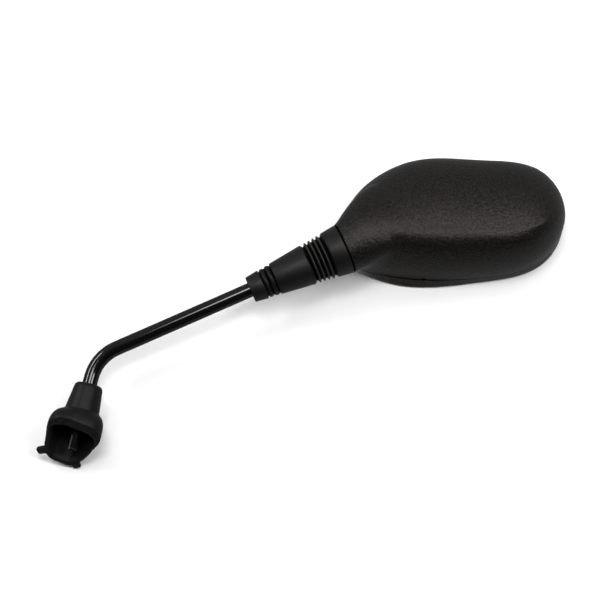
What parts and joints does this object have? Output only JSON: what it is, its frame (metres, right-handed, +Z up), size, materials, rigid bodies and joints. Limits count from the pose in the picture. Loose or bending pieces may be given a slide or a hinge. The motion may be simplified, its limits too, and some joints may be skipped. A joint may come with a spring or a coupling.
{
  "type": "motorcycle mirror",
  "caption": "Left-hand motorcycle mirror: long oval domed housing with convex glass on a ball joint, ribbed rubber gaiter, bent black rod, threaded stud, lock nut and rubber boot.",
  "frame": {"origin": "on the stud's axis, at the face under the lock nut that meets the handlebar clamp", "axes": "+Z up the stud, +X outboard in the plane of the stem's bend, +Y back towards the rider, the way the glass faces"},
  "size_m": [0.3178, 0.0608, 0.2792],
  "materials": {
    "stem": "deep gloss black paint",
    "nut": "black zinc plate",
    "ball": "polished steel",
    "seat": "natural acetal",
    "spring_steel": "oiled spring steel",
    "housing": "fine-grained black moulding",
    "mirror": "silvered convex glass",
    "pad": "dark foam",
    "gaiter": "matte black rubber",
    "boot": "matte black rubber"
  },
  "bodies": {
    "stem_set": {"stem": "stem", "lock_nut": "nut", "pivot_ball": "ball"},
    "boot_cover": {"boot": "boot"},
    "gaiter_sleeve": {"gaiter": "gaiter"},
    "seat_liner": {"ball_seat": "seat"},
    "head": {"back_shell": "housing", "bezel": "housing", "mirror_glass": "mirror", "glass_pad": "pad", "clamp_cup": "seat", "disc_springs": "spring_steel", "retaining_ring": "spring_steel"}
  },
  "joints": [
    {"name": "boot_slide", "type": "slide", "parent": "stem_set", "child": "boot_cover", "axis": [0, 0, 1], "range_m": [0, 0.01]},
    {"name": "head_swivel", "type": "hinge", "parent": "stem_set", "child": "gaiter_sleeve", "pos_m": [0.14569, 0, 0.15241], "axis": [0.8049, 0, 0.5934], "range_deg": [-30, 30]},
    {"name": "head_tilt", "type": "hinge", "parent": "gaiter_sleeve", "child": "seat_liner", "pos_m": [0.14569, 0, 0.15241], "axis": [0, 1, 0], "range_deg": [-12, 12], "deforming": ["gaiter"]},
    {"name": "head_pan", "type": "hinge", "parent": "seat_liner", "child": "head", "pos_m": [0.14569, 0, 0.15241], "axis": [-0.5934, 0, 0.8049], "range_deg": [-12, 12], "deforming": ["gaiter"]}
  ]
}
